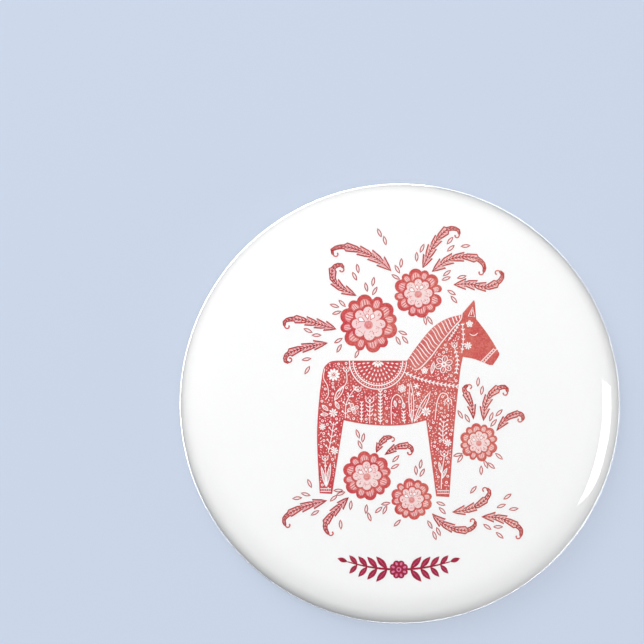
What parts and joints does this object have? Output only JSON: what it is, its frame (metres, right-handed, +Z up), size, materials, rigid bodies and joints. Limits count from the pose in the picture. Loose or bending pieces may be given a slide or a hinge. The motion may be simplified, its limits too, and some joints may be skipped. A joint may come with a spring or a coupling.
{
  "type": "round button magnet",
  "caption": "Round button magnet for a steel door: domed tinplate front under paper and clear film, printed with a folk-art horse and flowers, flexible magnet disc behind.",
  "frame": {"origin": "centre of the magnet disc's flat back face", "axes": "+Y out of the back, towards the door; -Y out of the printed face; +Z up the print; +X to the print's right"},
  "size_m": [0.057, 0.0057, 0.057],
  "materials": {
    "clear_film": "clear glossy polyester film",
    "white_paper": "smooth white printing paper",
    "tinplate": "bright tinplate, fine turned lines",
    "adhesive": "translucent glue film",
    "magnet_rubber": "matt ferrite-filled rubber, faint speckle",
    "red_ink": "matt red ink, uneven like watercolour",
    "crimson_ink": "matt crimson ink"
  },
  "bodies": {
    "root": {"clear_film": "clear_film", "paper_disc": "white_paper", "tinplate_front": "tinplate", "tinplate_back_pan": "tinplate", "adhesive_disc": "adhesive", "magnet_disc": "magnet_rubber", "print_horse": "red_ink", "print_mane": "red_ink", "print_saddle": "red_ink", "print_garland": "crimson_ink", "print_flower_1": "red_ink", "print_flower_2": "red_ink", "print_flower_3": "red_ink", "print_flower_4": "red_ink", "print_flower_5": "red_ink", "print_leaf_1": "red_ink", "print_leaf_2": "red_ink", "print_leaf_3": "red_ink", "print_leaf_4": "red_ink", "print_leaf_5": "red_ink", "print_leaf_6": "red_ink", "print_leaf_7": "red_ink", "print_leaf_8": "red_ink", "print_leaf_9": "red_ink", "print_leaf_10": "red_ink", "print_leaf_11": "red_ink", "print_leaf_12": "red_ink", "print_leaf_13": "red_ink", "print_leaf_14": "red_ink", "print_leaf_15": "red_ink", "print_leaf_16": "red_ink", "print_leaf_17": "red_ink"}
  },
  "joints": []
}
